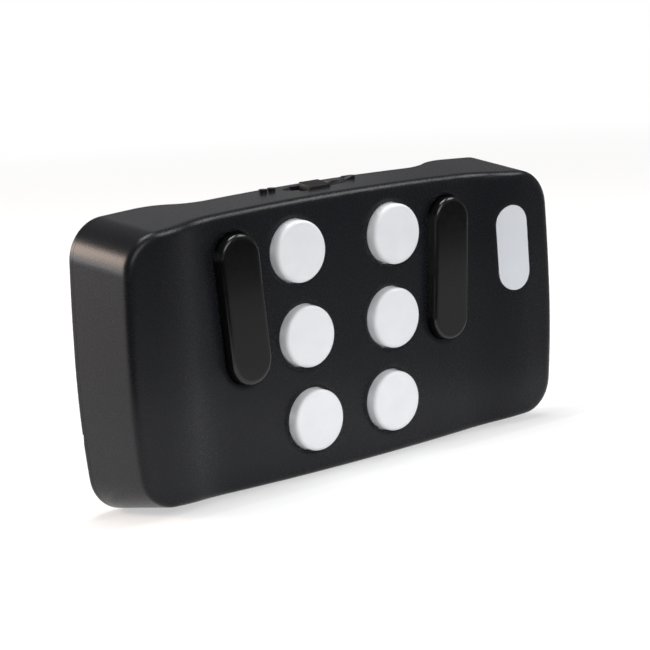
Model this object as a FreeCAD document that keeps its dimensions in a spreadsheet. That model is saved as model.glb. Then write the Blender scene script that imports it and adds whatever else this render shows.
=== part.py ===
import FreeCAD, Part
import math
import os

import Sketcher
from FreeCAD import Placement, Rotation, Vector

# Pocket braille keyboard, standing on one long side.
# Millimetres. +X runs along the length, +Y goes from the key side to the rear, +Z is up.
# The sub-parts are drawn about the middle of the key face and then placed in the part's frame,
# whose origin is at the bottom middle of the whole device.

DOC = FreeCAD.newDocument("BrailleKeyboard")
SHEET = DOC.addObject("Spreadsheet::Sheet", "Sizes")

SIZES = {
    # housing, seen from the key side
    "front_length": 102.2,
    "rear_length": 104.3,
    "front_height": 50.8,
    "rear_height": 54.8,
    "front_bow": 1.6,
    "rear_bow": 1.8,
    "front_low_bow": 1.6,
    "rear_low_bow": 0.3,
    "side_bow": 0.9,
    "side_low_bow": 2.1,
    "front_corner": 7.4,
    "rear_corner": 7.6,
    "front_low_corner": 7.0,
    "rear_low_corner": 7.4,
    # housing, seen from above: both faces are set back in the middle
    "middle_depth": 8.85,
    "front_set_back": 2.4,
    "front_flat": 58.4,
    "front_bend": 15.2,
    "rear_set_back": 3.8,
    "rear_flat": 47.5,
    "rear_bend": 13.6,
    "rim_round": 1.1,
    "side_wall": 1.8,
    "face_wall": 1.6,
    # rear cover
    "cover_thickness": 1.3,
    "cover_seam": 0.05,
    "cover_edge_round": 0.5,
    "notch_height": 1.5,
    "notch_depth": 0.35,
    "notch_reach": 0.65,
    "notch_down": 12.8,
    "stop_radius": 1.2,
    "stop_inset": 1.5,
    "stop_up": 17.2,
    "foot_radius": 2.6,
    "foot_height": 0.8,
    "foot_edge_round": 0.27,
    "foot_inset_x": 7.15,
    "foot_inset_z": 7.4,
    # round keys
    "key_radius": 5.7,
    "key_proud": 1.96,
    "key_edge_round": 0.55,
    "key_gap": 0.25,
    "key_wall": 1.1,
    "key_post_radius": 1.5,
    "keys_shift": -0.45,
    "column_spacing": 21.1,
    "column_splay": 1.05,
    "row_pitch": 15.84,
    "rows_up": 0.5,
    # long keys
    "long_key_width": 8.7,
    "long_key_length": 27.5,
    "long_key_proud": 2.2,
    "long_key_spacing": 50.0,
    "long_key_up": 7.8,
    "long_key_lean": 3.8,
    # what holds every key behind the face
    "lip_width": 0.8,
    "lip_thickness": 0.7,
    "lip_gap": 0.2,
    "key_travel": 0.5,
    # board and push switches
    "board_set": 5.0,
    "board_thickness": 1.0,
    "board_gap": 1.2,
    "board_boss_gap": 0.3,
    "tact_width": 5.2,
    "tact_height": 1.5,
    "tact_chamfer": 0.6,
    "plunger_radius": 1.2,
    "plunger_gap": 0.1,
    "plunger_bite": 0.5,
    "tact_leg_width": 0.8,
    "tact_leg_reach": 0.7,
    "tact_leg_thickness": 0.2,
    # board screws and case screws
    "board_boss_radius": 2.2,
    "board_boss_inset_x": 17.65,
    "board_boss_inset_z": 12.4,
    "board_screw_radius": 0.8,
    "board_screw_length": 4.0,
    "case_boss_radius": 2.6,
    "case_boss_inset_x": 8.65,
    "case_boss_inset_z": 11.9,
    "case_screw_radius": 1.0,
    "case_screw_length": 7.0,
    "screw_head_radius": 1.7,
    "screw_head_height": 0.7,
    "screw_gap": 0.05,
    "screw_slot_width": 0.5,
    "screw_slot_depth": 0.35,
    # power slide on the upper wall
    "knob_length": 4.8,
    "knob_width": 3.6,
    "knob_proud": 0.95,
    "knob_middle_y": 6.25,
    "knob_middle_x": -1.57,
    "knob_gap": 0.2,
    "knob_travel": 2.0,
    "knob_round": 0.25,
    "knob_stem_length": 2.4,
    "knob_stem_width": 1.2,
    "knob_stem_drop": 1.2,
    "scoop_middle_x": -1.0,
    "scoop_middle_y": 6.55,
    "scoop_length": 15.9,
    "scoop_depth": 1.0,
    "scoop_radius": 2.0,
    "slide_body_length": 9.6,
    "slide_body_width": 3.0,
    "slide_body_height": 3.2,
    "slide_body_gap": 0.3,
    "slide_leg_pitch": 3.0,
    "slide_leg_width": 0.6,
    "slide_leg_length": 1.8,
    "slide_leg_thickness": 0.25,
    # raised tactile marks on the upper wall
    "mark_radius": 0.78,
    "mark_height": 0.55,
    "mark_y": 7.9,
    "mark_pair_x": -11.5,
    "mark_pair_pitch": 2.0,
    "mark_bar_x": 8.0,
    "mark_bar_length": 3.1,
    # charging socket on the right side
    "port_width": 8.94,
    "port_height": 3.26,
    "port_length": 7.3,
    "port_wall": 0.3,
    "port_recess": 0.5,
    "port_gap": 0.3,
    "tongue_width": 6.7,
    "tongue_thickness": 0.7,
    "tongue_length": 4.6,
    # cell, lead and pad at the left end
    "cell_length": 24.0,
    "cell_width": 11.6,
    "cell_thickness": 6.0,
    "cell_round": 1.0,
    "cell_inset": 9.55,
    "cell_gap": 0.2,
    "lead_radius": 0.45,
    "lead_pitch": 1.5,
    "lead_run": 3.0,
    "lead_drop": 0.8,
    "plug_length": 4.4,
    "plug_width": 3.4,
    "plug_height": 2.0,
    "plug_inset": 21.65,
    "plug_z": 3.0,
    "pad_inset": 1.5,
    # vibration motor at the right end
    "motor_radius": 4.0,
    "motor_height": 2.7,
    "motor_edge_round": 0.3,
    "motor_inset": 13.85,
    "motor_z": -9.4,
    # electronics on the rear of the board
    "radio_length": 13.0,
    "radio_width": 10.0,
    "radio_board": 0.5,
    "radio_can": 1.0,
    "radio_can_length": 9.0,
    "radio_margin": 0.5,
    "radio_x": 16.0,
    "radio_z": 8.0,
    "chip_size": 6.0,
    "chip_thickness": 0.9,
    "chip_x": -2.0,
    "chip_z": -4.0,
    "small_length": 1.6,
    "small_width": 0.8,
    "small_thickness": 0.6,
    "small_pitch": 2.6,
    # plain label on the key side
    "label_width": 7.36,
    "label_length": 16.85,
    "label_inset": 9.89,
    "label_up": 9.46,
    "label_lean": -1.6,
    "label_thickness": 0.3,
    "label_proud": 0.05,
}

SMALL_COUNT = 5
MOST_SOLIDS = {"small_parts": SMALL_COUNT, "battery_leads": 2}
# cutters reach far beyond the part, or a little beyond the face that they open
FAR = 80.0
BEYOND = 1.0
# how near a point of an edge must be to a face to lie on it
TOUCH = 0.02
EDGE_POINTS = 7


def fill_sheet():
    for row, (alias, number) in enumerate(SIZES.items(), start=1):
        SHEET.set("A%d" % row, alias)
        SHEET.set("B%d" % row, str(number))
        SHEET.setAlias("B%d" % row, alias)
    DOC.recompute()


def size(alias):
    return float(getattr(SHEET, alias))


# Derived places along the depth


def face_ends_y():
    return -size("front_set_back")


def cover_inner_middle_y():
    return size("middle_depth")


def cover_outer_middle_y():
    return size("middle_depth") + size("cover_thickness")


def rear_ends_y():
    return cover_outer_middle_y() + size("rear_set_back")


def board_rear_y():
    return size("board_set") + size("board_thickness")


def tact_front_y():
    return size("board_set") - size("tact_height")


def post_end_y():
    return tact_front_y() - size("key_travel")


def lip_front_y():
    return size("face_wall") + size("lip_gap")


# Outline of the housing at a given depth


def blend(start, end, share):
    return start + (end - start) * share


def depth_share(y):
    return (y - face_ends_y()) / (rear_ends_y() - face_ends_y())


def section(y, inset=0.0):
    """Half length and half height at depth y."""
    share = depth_share(y)
    half_length = blend(size("front_length"), size("rear_length"), share) / 2 - inset
    half_height = blend(size("front_height"), size("rear_height"), share) / 2 - inset
    return half_length, half_height


def half_section(y, lower, inset=0.0):
    """Bows of the long and the short side and corner radius, of the upper or the lower half at depth y."""
    share = depth_share(y)
    low = "low_" if lower else ""
    bow = blend(size("front_%sbow" % low), size("rear_%sbow" % low), share)
    corner = blend(size("front_%scorner" % low), size("rear_%scorner" % low), share) - inset
    return bow, size("side_%sbow" % low), corner


def half_height_at(x, y, inset=0.0, lower=False):
    half_length, half_height = section(y, inset)
    bow = half_section(y, lower)[0]
    return half_height - bow * (x / half_length) ** 2


def half_length_at(z, y, inset=0.0):
    half_length, half_height = section(y, inset)
    side_bow = half_section(y, z < 0)[1]
    return half_length - side_bow * (z / half_height) ** 2


def corner_points(half_length, half_height, bow, side_bow, corner):
    """End of the long side, middle of the corner arc and end of the short side, upper right."""
    long_radius = (half_length ** 2 + bow ** 2) / (2 * bow)
    side_radius = (half_height ** 2 + side_bow ** 2) / (2 * side_bow)
    long_centre = Vector(0, half_height - long_radius, 0)
    side_centre = Vector(half_length - side_radius, 0, 0)
    between = side_centre - long_centre
    gap = between.Length
    to_long = long_radius - corner
    to_side = side_radius - corner
    along = (to_long ** 2 - to_side ** 2 + gap ** 2) / (2 * gap)
    off = math.sqrt(to_long ** 2 - along ** 2)
    unit = between / gap
    centre = long_centre + unit * along + Vector(unit.y, -unit.x, 0) * off
    up = (centre - long_centre).normalize()
    out = (centre - side_centre).normalize()
    long_end = long_centre + up * long_radius
    side_end = side_centre + out * side_radius
    middle = centre + (up + out).normalize() * corner
    return long_end, middle, side_end


def arc_middle(start, end, tip):
    """Point half way along the arc from start to end whose tangent at end is at a right angle to the tip."""
    chord = end - start
    radius = chord.Length ** 2 / (2 * abs(chord.dot(tip)))
    centre = end - tip * radius
    return centre + ((start + end) / 2 - centre).normalize() * radius


def outline_at(y, inset=0.0):
    """Bowed sides joined by corner arcs that are tangent to them, clockwise from the upper left."""
    half_length, half_height = section(y, inset)
    upper = corner_points(half_length, half_height, *half_section(y, False, inset))
    lower = corner_points(half_length, half_height, *half_section(y, True, inset))

    def flip(point, x_sign, z_sign):
        return Vector(point.x * x_sign, point.y * z_sign, 0)

    top, corner, side = upper
    low, low_corner, low_side = (flip(point, 1, -1) for point in lower)
    top_middle = Vector(0, half_height, 0)
    end = Vector(half_length, 0, 0)
    side_middle = arc_middle(side, end, Vector(1, 0, 0))
    low_side_middle = arc_middle(low_side, end, Vector(1, 0, 0))
    right = [
        Part.Arc(top, corner, side),
        Part.Arc(side, side_middle, end),
        Part.Arc(end, low_side_middle, low_side),
        Part.Arc(low_side, low_corner, low),
    ]
    left = [
        Part.Arc(flip(low, -1, 1), flip(low_corner, -1, 1), flip(low_side, -1, 1)),
        Part.Arc(flip(low_side, -1, 1), flip(low_side_middle, -1, 1), flip(end, -1, 1)),
        Part.Arc(flip(end, -1, 1), flip(side_middle, -1, 1), flip(side, -1, 1)),
        Part.Arc(flip(side, -1, 1), flip(corner, -1, 1), flip(top, -1, 1)),
    ]
    upper_side = Part.Arc(flip(top, -1, 1), top_middle, top)
    lower_side = Part.Arc(low, flip(top_middle, 1, -1), flip(low, -1, 1))
    return [upper_side, *right, lower_side, *left]


def stadium_outline(width, length, x=0.0, z=0.0, lean=0.0):
    """An upright slot outline about x and z, whose top leans to the right by some degrees."""
    radius = width / 2
    straight = (length - width) / 2
    turn = Rotation(Vector(0, 0, 1), -lean)

    def at(right, up):
        return turn.multVec(Vector(right, up, 0)) + Vector(x, z, 0)

    upper_left, upper_right = at(-radius, straight), at(radius, straight)
    lower_left, lower_right = at(-radius, -straight), at(radius, -straight)
    return [
        Part.Arc(upper_left, at(0.0, length / 2), upper_right),
        Part.LineSegment(upper_right, lower_right),
        Part.Arc(lower_right, at(0.0, -length / 2), lower_left),
        Part.LineSegment(lower_left, upper_left),
    ]


def polygon(points):
    corners = [Vector(x, y, 0) for x, y in points]
    return [Part.LineSegment(a, b) for a, b in zip(corners, corners[1:] + corners[:1])]


def rectangle(width, height, x=0.0, z=0.0):
    left, right = x - width / 2, x + width / 2
    low, high = z - height / 2, z + height / 2
    return polygon([(left, low), (right, low), (right, high), (left, high)])


# Plan profiles of the two set-back faces, as S bends of two equal arcs


def bend_points(start_x, start_y, end_x, end_y):
    """Two arcs, level at both ends, that go from one level to the other."""
    run = end_x - start_x
    rise = end_y - start_y
    radius = (run ** 2 + rise ** 2) / (4 * abs(rise))
    middle = Vector((start_x + end_x) / 2, (start_y + end_y) / 2, 0)
    half_angle = math.asin(abs(run) / (2 * radius)) / 2
    step_x = math.copysign(radius * math.sin(half_angle), run)
    step_y = math.copysign(radius * (1 - math.cos(half_angle)), rise)
    start = Vector(start_x, start_y, 0)
    end = Vector(end_x, end_y, 0)
    first = Part.Arc(start, Vector(start_x + step_x, start_y + step_y, 0), middle)
    second = Part.Arc(middle, Vector(end_x - step_x, end_y - step_y, 0), end)
    return [first, second]


def set_back_profile(flat, bend, middle_y, ends_y, close_y):
    """Closed plan outline between a set-back face and a straight line beyond it."""
    inner = flat / 2
    outer = inner + bend
    return [
        Part.LineSegment(Vector(-FAR, close_y, 0), Vector(-FAR, ends_y, 0)),
        Part.LineSegment(Vector(-FAR, ends_y, 0), Vector(-outer, ends_y, 0)),
        *bend_points(-outer, ends_y, -inner, middle_y),
        Part.LineSegment(Vector(-inner, middle_y, 0), Vector(inner, middle_y, 0)),
        *bend_points(inner, middle_y, outer, ends_y),
        Part.LineSegment(Vector(outer, ends_y, 0), Vector(FAR, ends_y, 0)),
        Part.LineSegment(Vector(FAR, ends_y, 0), Vector(FAR, close_y, 0)),
        Part.LineSegment(Vector(FAR, close_y, 0), Vector(-FAR, close_y, 0)),
    ]


def face_profile(depth):
    """Everything in front of the key face, moved back by depth."""
    return set_back_profile(size("front_flat"), size("front_bend"), depth, face_ends_y() + depth, -FAR)


def rear_profile(middle_y, close_y):
    """The rear face whose middle is at middle_y, closed at close_y."""
    ends_y = middle_y + size("rear_set_back")
    return set_back_profile(size("rear_flat"), size("rear_bend"), middle_y, ends_y, close_y)


# Bodies, sketches and features


def new_body(label):
    body = DOC.addObject("PartDesign::Body", label)
    body.Label = label
    return body


def origin_plane(body, role):
    for feature in body.Origin.OriginFeatures:
        if feature.Role == role:
            return feature
    raise ValueError(role)


def new_sketch(body, name, role, offset, curves):
    """A sketch on one of the body's origin planes, moved along that plane's normal."""
    sketch = body.newObject("Sketcher::SketchObject", name)
    sketch.AttachmentSupport = (origin_plane(body, role), [""])
    sketch.MapMode = "FlatFace"
    sketch.AttachmentOffset = Placement(Vector(0, 0, offset), Rotation())
    for curve in curves:
        index = sketch.addGeometry(curve, False)
        sketch.addConstraint(Sketcher.Constraint("Block", index))
    return sketch


def face_sketch(body, name, y, curves):
    """A sketch seen from the key side, at depth y. Its own X and Y are the device's X and Z."""
    return new_sketch(body, name, "XZ_Plane", -y, curves)


def plan_sketch(body, name, z, curves):
    return new_sketch(body, name, "XY_Plane", z, curves)


def circle(radius, x=0.0, z=0.0):
    return Part.Circle(Vector(x, z, 0), Vector(0, 0, 1), radius)


def bound_circle_sketch(body, name, y, alias, places=((0.0, 0.0),)):
    """Circles at depth y whose radius follows one cell of the sheet."""
    sketch = body.newObject("Sketcher::SketchObject", name)
    sketch.AttachmentSupport = (origin_plane(body, "XZ_Plane"), [""])
    sketch.MapMode = "FlatFace"
    sketch.AttachmentOffset = Placement(Vector(0, 0, -y), Rotation())
    for x, z in places:
        index = sketch.addGeometry(circle(size(alias), x, z), False)
        number = sketch.addConstraint(Sketcher.Constraint("Radius", index, size(alias)))
        sketch.setExpression("Constraints[%d]" % number, "Sizes." + alias)
    return sketch


def pad(body, sketch, length, backwards=True, follows=None):
    """Backwards pads go to the rear from a face sketch, or down from a plan sketch."""
    feature = body.newObject("PartDesign::Pad", sketch.Name + "_pad")
    feature.Profile = sketch
    feature.Length = length
    feature.Reversed = backwards
    if follows:
        feature.setExpression("Length", follows)
    return feature


def pocket(body, sketch, length, backwards=False, follows=None):
    """A pocket goes to the rear from a face sketch, unless backwards brings it to the key side."""
    feature = body.newObject("PartDesign::Pocket", sketch.Name + "_cut")
    feature.Profile = sketch
    feature.Length = length
    feature.Reversed = backwards
    if follows:
        feature.setExpression("Length", follows)
    return feature


def round_edges(body, name, names, radius, follows=None):
    before = body.Tip
    feature = body.newObject("PartDesign::Fillet", name)
    feature.Base = (before, names)
    feature.Radius = radius
    if follows:
        feature.setExpression("Radius", follows)
    return feature


def plan_cut(body, name, curves):
    """Cuts a plan outline through the full height."""
    return pocket(body, plan_sketch(body, name, -FAR, curves), 2 * FAR, backwards=True)


def fuse(label, parts):
    joined = DOC.addObject("Part::MultiFuse", label)
    joined.Shapes = parts
    joined.Refine = True
    return joined


def cut(label, base, tool):
    result = DOC.addObject("Part::Cut", label)
    result.Base = base
    result.Tool = tool
    result.Refine = True
    return result


def box(label, length, depth, height, middle):
    """A block about its middle point."""
    block = DOC.addObject("Part::Box", label)
    block.Length = length
    block.Width = depth
    block.Height = height
    block.Placement.Base = Vector(middle.x - length / 2, middle.y - depth / 2, middle.z - height / 2)
    return block


def housing_form(body, inset=0.0):
    """The tapered outer form, long enough to be cut by both set-back faces."""
    front_y = face_ends_y() - size("front_set_back")
    rear_y = rear_ends_y() + size("cover_thickness")
    front = face_sketch(body, body.Name + "_front_outline", front_y, outline_at(front_y, inset))
    rear = face_sketch(body, body.Name + "_rear_outline", rear_y, outline_at(rear_y, inset))
    loft = body.newObject("PartDesign::AdditiveLoft", body.Name + "_form")
    loft.Profile = front
    loft.Sections = [rear]
    loft.Ruled = True
    return loft


# Places of the keys, about the middle of the key face


def round_key_places():
    """Two columns of three that come closer together towards the bottom, left column first."""
    places = []
    for side in (-1, 1):
        for row in (1, 0, -1):
            x = size("keys_shift") + side * (size("column_spacing") / 2 + row * size("column_splay"))
            places.append((x, size("rows_up") + row * size("row_pitch")))
    return places


def long_key_places():
    """Each place has the lean of the key in degrees about the depth axis."""
    half = size("long_key_spacing") / 2
    lean = size("long_key_lean")
    up = size("long_key_up")
    middle = size("keys_shift")
    return [(middle - half, up, -lean), (middle + half, up, lean)]


def four_places(inset_x, inset_z):
    """Four places, by how far they lie in from the rear outline."""
    x = size("rear_length") / 2 - size(inset_x)
    z = size("rear_height") / 2 - size(inset_z)
    return [(-x, z), (x, z), (-x, -z), (x, -z)]


def screw_places(kind):
    return four_places(kind + "_boss_inset_x", kind + "_boss_inset_z")


def lean_placement(x, z, lean=0.0, y=0.0):
    return Placement(Vector(x, y, z), Rotation(Vector(0, 1, 0), lean))


# Front shell


def shell_outer():
    body = new_body("shell_outer")
    housing_form(body)
    plan_cut(body, "shell_face", face_profile(0.0))
    plan_cut(body, "shell_rear", rear_profile(cover_inner_middle_y() - size("cover_seam") / 2, FAR))
    DOC.recompute()
    round_edges(body, "shell_rim", rim_edges(body.Tip.Shape, face_y), size("rim_round"), "Sizes.rim_round")
    return body


def rim_edges(shape, level):
    """The edges around a set-back face whose depth at x is level(x), without those that cross it."""
    names = []
    for index, edge in enumerate(shape.Edges, start=1):
        points = edge.discretize(EDGE_POINTS)
        middle = points[EDGE_POINTS // 2]
        on_face = all(abs(point.y - level(point.x)) < TOUCH for point in points)
        below_top = abs(middle.z) < size("front_height") / 2 - size("rear_low_corner")
        off_end = abs(middle.x) < half_length_at(0.0, middle.y) - 2 * size("side_low_bow")
        if on_face and not (below_top and off_end):
            names.append("Edge%d" % index)
    return names


def level_along(x, flat, bend, middle_y, ends_y):
    """Depth of a set-back face at x, on the same arcs as its plan profile."""
    into = abs(x) - flat / 2
    if into <= 0:
        return middle_y
    if into >= bend:
        return ends_y
    rise = ends_y - middle_y
    radius = (bend ** 2 + rise ** 2) / (4 * abs(rise))
    if into <= bend / 2:
        drop = radius - math.sqrt(radius ** 2 - into ** 2)
        return middle_y + math.copysign(drop, rise)
    left = bend - into
    drop = radius - math.sqrt(radius ** 2 - left ** 2)
    return ends_y - math.copysign(drop, rise)


def face_y(x):
    return level_along(x, size("front_flat"), size("front_bend"), 0.0, face_ends_y())


def cover_inner_y(x):
    middle = cover_inner_middle_y()
    return level_along(x, size("rear_flat"), size("rear_bend"), middle, middle + size("rear_set_back"))


def shell_cavity():
    body = new_body("shell_cavity")
    housing_form(body, size("side_wall"))
    plan_cut(body, "cavity_face", face_profile(size("face_wall")))
    return body


def boss_body(label, kind, places, rear_limit):
    """Round posts from inside the key face to where a screw clamps on them."""
    body = new_body(label)
    start = face_y(places[0][0]) + size("face_wall") / 2
    sketch = bound_circle_sketch(body, label + "_posts", start, kind + "_boss_radius", places)
    pad(body, sketch, rear_limit - start)
    return body


def shell_bosses():
    board = boss_body("board_bosses", "board", screw_places("board"), size("board_set"))
    case_end = cover_inner_middle_y() + size("rear_set_back") - size("cover_seam")
    case = boss_body("case_bosses", "case", screw_places("case"), case_end)
    return [board, case]


def screw_bores():
    """Blind pilot holes, open to the rear."""
    tools = []
    for kind, rear in (("board", size("board_set")), ("case", rear_ends_y())):
        body = new_body(kind + "_pilots")
        depth = size(kind + "_screw_length") + size("screw_gap")
        seat = pilot_seat_y(kind)
        start = seat - depth
        places = screw_places(kind)
        sketch = bound_circle_sketch(body, kind + "_pilot_circles", start, kind + "_screw_radius", places)
        pad(body, sketch, rear + BEYOND - start)
        tools.append(body)
    return tools


def pilot_seat_y(kind):
    """Depth of the face that a screw head rests on."""
    if kind == "board":
        return board_rear_y()
    return rear_ends_y() - size("screw_head_height")


def key_openings():
    """Eight holes through the key face, each larger than its key by the running gap."""
    front = face_ends_y() - BEYOND
    length = size("face_wall") + BEYOND / 2 - front
    body = new_body("round_openings")
    radius = size("key_radius") + size("key_gap")
    curves = [circle(radius, x, z) for x, z in round_key_places()]
    pad(body, face_sketch(body, "round_opening_circles", front, curves), length)
    tools = [body]
    for name, (x, z, lean) in zip(("left", "right"), long_key_places()):
        slot = new_body("long_opening_" + name)
        gap = 2 * size("key_gap")
        curves = stadium_outline(size("long_key_width") + gap, size("long_key_length") + gap)
        pad(slot, face_sketch(slot, "long_slot_" + name, front, curves), length)
        slot.Placement = lean_placement(x, z, lean)
        tools.append(slot)
    return tools


def knob_limits():
    """The knob's ends in X at rest, and the left end of its slot."""
    right = size("knob_middle_x") + size("knob_length") / 2
    left = size("knob_middle_x") - size("knob_length") / 2
    return left, right


def top_z_at_knob():
    return half_height_at(size("knob_middle_x"), size("knob_middle_y"))


def knob_slot():
    left, right = knob_limits()
    gap = size("knob_gap")
    length = right - left + size("knob_travel") + 2 * gap
    middle_x = (left + right - size("knob_travel")) / 2
    middle = Vector(middle_x, size("knob_middle_y"), top_z_at_knob())
    return box("knob_slot", length, size("knob_width") + 2 * gap, 4 * size("side_wall"), middle)


def finger_scoop():
    """A boat-shaped dish around the knob: the lowest part of a large ring."""
    depth = size("scoop_depth")
    outer = ((size("scoop_length") / 2) ** 2 + depth ** 2) / (2 * depth)
    ring = DOC.addObject("Part::Torus", "finger_scoop")
    ring.Radius1 = outer - size("scoop_radius")
    ring.Radius2 = size("scoop_radius")
    ring.setExpression("Radius2", "Sizes.scoop_radius")
    top = half_height_at(size("scoop_middle_x"), size("scoop_middle_y"))
    middle = Vector(size("scoop_middle_x"), size("scoop_middle_y"), top - depth + outer)
    ring.Placement = Placement(middle, Rotation(Vector(1, 0, 0), 90))
    return ring


def upper_sketch(body, name, z, curves):
    """A plan sketch for pieces that stand on the upper wall."""
    return new_sketch(body, name, "XY_Plane", z, curves)


def tactile_marks():
    """A pair of short round pegs at one end of the slide and a bar at the other."""
    y = size("mark_y")
    radius = size("mark_radius")
    body = new_body("tactile_marks")
    top = half_height_at(size("mark_pair_x"), y) + size("mark_height")
    drop = size("mark_height") + size("side_wall") / 2
    curves = []
    for side in (-0.5, 0.5):
        curves.append(circle(radius, size("mark_pair_x") + side * size("mark_pair_pitch"), y))
    pad(body, upper_sketch(body, "mark_pair", top, curves), drop)
    bar = new_body("tactile_bar")
    straight = size("mark_bar_length") / 2 - radius
    x = size("mark_bar_x")
    left_front, left_rear = Vector(x - straight, y - radius, 0), Vector(x - straight, y + radius, 0)
    right_front, right_rear = Vector(x + straight, y - radius, 0), Vector(x + straight, y + radius, 0)
    outline = [
        Part.Arc(left_front, Vector(x - straight - radius, y, 0), left_rear),
        Part.LineSegment(left_rear, right_rear),
        Part.Arc(right_rear, Vector(x + straight + radius, y, 0), right_front),
        Part.LineSegment(right_front, left_front),
    ]
    pad(bar, upper_sketch(bar, "mark_bar", top, outline), drop)
    return [body, bar]


def port_middle_y():
    return board_rear_y() + size("port_height") / 2


def port_opening():
    body = new_body("port_opening")
    gap = 2 * size("port_gap")
    width = size("port_width") + gap
    height = size("port_height") + gap
    start = size("rear_length") / 2 - 3 * size("side_wall")
    outline = stadium_outline(height, width, port_middle_y(), 0.0)
    sketch = new_sketch(body, "port_slot", "YZ_Plane", start, outline)
    pad(body, sketch, 5 * size("side_wall"), backwards=False)
    return body


def label_block(label, grow, front_shift, rear_shift):
    """The label's outline between two copies of the key face."""
    body = new_body(label)
    x = size("front_length") / 2 - size("label_inset")
    width = size("label_width") + 2 * grow
    length = size("label_length") + 2 * grow
    curves = stadium_outline(width, length, x, size("label_up"), size("label_lean"))
    start = face_ends_y() - BEYOND
    pad(body, face_sketch(body, label + "_outline", start, curves), size("middle_depth") - start)
    plan_cut(body, label + "_front", face_profile(front_shift))
    rear = set_back_profile(size("front_flat"), size("front_bend"), rear_shift, face_ends_y() + rear_shift, FAR)
    plan_cut(body, label + "_rear", rear)
    return body


def front_shell():
    tub = cut("shell_tub", shell_outer(), shell_cavity())
    joined = fuse("shell_with_bosses", [tub] + shell_bosses() + tactile_marks())
    recess_depth = size("label_thickness") - size("label_proud")
    recess = label_block("label_recess", size("screw_gap"), -BEYOND / 2, recess_depth)
    tools = screw_bores() + key_openings() + [knob_slot(), finger_scoop(), port_opening(), recess]
    return cut("front_shell", joined, fuse("shell_openings", tools))


# Rear cover


def cover_outer_y(x):
    return cover_inner_y(x) + size("cover_thickness")


def cover_plate():
    body = new_body("cover_plate")
    housing_form(body)
    seam = size("cover_seam") / 2
    plan_cut(body, "cover_inner", rear_profile(cover_inner_middle_y() + seam, -FAR))
    plan_cut(body, "cover_outer", rear_profile(cover_outer_middle_y(), FAR))
    DOC.recompute()
    names = rim_edges(body.Tip.Shape, cover_outer_y)
    round_edges(body, "cover_edge", names, size("cover_edge_round"), "Sizes.cover_edge_round")
    return body


def back_cover():
    body = cover_plate()
    tools = [cover_screw_holes("cover_holes", size("case_screw_radius") + size("screw_gap"), 0.0)]
    head = size("screw_head_radius") + size("screw_gap")
    tools.append(cover_screw_holes("cover_head_seats", head, pilot_seat_y("case")))
    notch_x = -half_length_at(-size("notch_down"), rear_ends_y())
    notch_middle = Vector(notch_x, rear_ends_y(), -size("notch_down"))
    length, depth = 2 * size("notch_depth"), 2 * size("notch_reach")
    tools.append(box("pry_notch", length, depth, size("notch_height"), notch_middle))
    plate = cut("cover_holed", body, fuse("cover_tools", tools))
    return fuse("back_cover", [plate, board_stops()])


def cover_screw_holes(label, radius, start):
    body = new_body(label)
    curves = [circle(radius, x, z) for x, z in screw_places("case")]
    pad(body, face_sketch(body, label + "_circles", start, curves), rear_ends_y() + BEYOND - start)
    return body


def board_stops():
    """Four posts inside the cover that keep the board down on its bosses."""
    body = new_body("board_stops")
    x = size("rear_flat") / 2 - size("stop_inset")
    z = size("stop_up")
    places = [(-x, z), (x, z), (-x, -z), (x, -z)]
    sketch = bound_circle_sketch(body, "stop_circles", board_rear_y(), "stop_radius", places)
    pad(body, sketch, cover_inner_middle_y() + size("cover_thickness") / 2 - board_rear_y())
    return body


def rubber_feet():
    feet = []
    for number, (x, z) in enumerate(four_places("foot_inset_x", "foot_inset_z"), start=1):
        body = new_body("rubber_foot_%d" % number)
        sketch = bound_circle_sketch(body, body.Name + "_circle", 0.0, "foot_radius")
        pad(body, sketch, size("foot_height"), follows="Sizes.foot_height")
        DOC.recompute()
        round_rim(body, body.Name + "_rim", size("foot_height"), "foot_edge_round")
        body.Placement = lean_placement(x, z, y=rear_ends_y())
        feet.append(body)
    return feet


def round_rim(body, name, y, alias):
    """Rounds every edge that lies wholly at depth y."""
    names = []
    for index, edge in enumerate(body.Tip.Shape.Edges, start=1):
        if all(abs(point.y - y) < TOUCH for point in edge.discretize(EDGE_POINTS)):
            names.append("Edge%d" % index)
    return round_edges(body, name, names, size(alias), "Sizes." + alias)


# Keys


def round_key(label, x, z):
    """A hollow cap with a holding lip behind the face and a post that meets the plunger."""
    body = new_body(label)
    radius = size("key_radius")
    front = -size("key_proud")
    lip_front = lip_front_y()
    lip_rear = lip_front + size("lip_thickness")
    lip_radius = radius + size("key_gap") + size("lip_width")
    bore = radius - size("key_wall")
    roof = front + size("key_wall")
    edge = size("key_edge_round")
    slant = edge * (1 - math.sqrt(0.5))
    post = size("key_post_radius")
    end = post_end_y()

    def line(a, b):
        return Part.LineSegment(Vector(a[0], a[1], 0), Vector(b[0], b[1], 0))

    edge_arc = Part.Arc(Vector(radius - edge, front, 0), Vector(radius - slant, front + slant, 0),
                        Vector(radius, front + edge, 0))
    curves = [
        line((0, front), (radius - edge, front)),
        edge_arc,
        line((radius, front + edge), (radius, lip_front)),
        line((radius, lip_front), (lip_radius, lip_front)),
        line((lip_radius, lip_front), (lip_radius, lip_rear)),
        line((lip_radius, lip_rear), (bore, lip_rear)),
        line((bore, lip_rear), (bore, roof)),
        line((bore, roof), (post, roof)),
        line((post, roof), (post, end)),
        line((post, end), (0, end)),
        line((0, end), (0, front)),
    ]
    sketch = plan_sketch(body, label + "_profile", 0.0, curves)
    turned = body.newObject("PartDesign::Revolution", label + "_turned")
    turned.Profile = sketch
    turned.ReferenceAxis = (sketch, ["V_Axis"])
    turned.Angle = 360.0
    body.Placement = lean_placement(x, z)
    return body


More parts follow.
